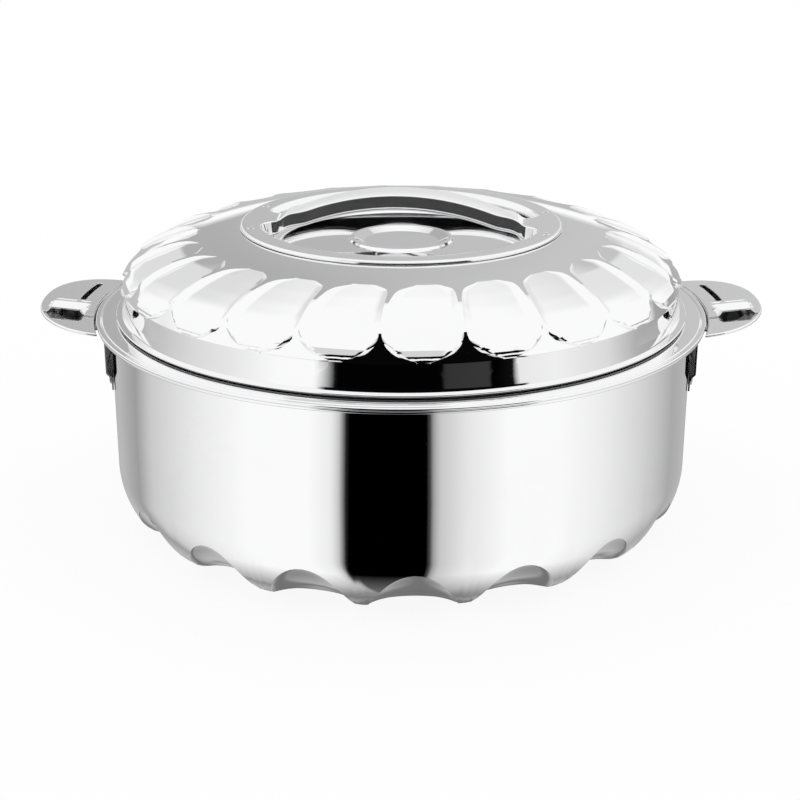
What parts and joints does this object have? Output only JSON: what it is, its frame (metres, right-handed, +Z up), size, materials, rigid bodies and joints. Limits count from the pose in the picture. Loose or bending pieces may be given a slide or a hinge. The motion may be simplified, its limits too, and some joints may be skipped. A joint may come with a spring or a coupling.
{
  "type": "insulated serving casserole",
  "caption": "Round double-walled steel casserole for keeping bread warm, with a petal-pressed lift-off lid, a bridge handle on the lid and folded side handles.",
  "frame": {"origin": "centre of the flat base, on the plane the pot stands on", "axes": "+Z up along the pot's axis; +X towards the right-hand side handle; -Y is the side the picture was taken from"},
  "size_m": [0.3632, 0.305, 0.1656],
  "materials": {
    "polished_steel": "mirror-polished stainless steel sheet",
    "bowl_steel": "satin stainless steel sheet",
    "handle_steel": "polished stainless steel sheet",
    "rivet_steel": "bright stainless steel",
    "foam": "rigid insulating foam"
  },
  "bodies": {
    "pot": {"pot_outer_shell": "polished_steel", "pot_inner_bowl": "bowl_steel", "pot_insulation": "foam", "right_handle_plate": "handle_steel", "right_handle_cover": "handle_steel", "right_handle_bracket": "handle_steel", "right_bracket_rivet_front": "rivet_steel", "right_bracket_rivet_back": "rivet_steel", "left_handle_plate": "handle_steel", "left_handle_cover": "handle_steel", "left_handle_bracket": "handle_steel", "left_bracket_rivet_front": "rivet_steel", "left_bracket_rivet_back": "rivet_steel"},
    "lid": {"lid_outer_shell": "polished_steel", "lid_inner_cover": "bowl_steel", "lid_insulation": "foam", "lid_handle": "handle_steel", "lid_handle_rivet_1": "rivet_steel", "lid_handle_rivet_2": "rivet_steel", "lid_handle_rivet_3": "rivet_steel", "lid_handle_rivet_4": "rivet_steel"}
  },
  "joints": [
    {"name": "lid_lift", "type": "slide", "parent": "pot", "child": "lid", "axis": [0, 0, 1], "range_m": [0, 0.12]}
  ]
}
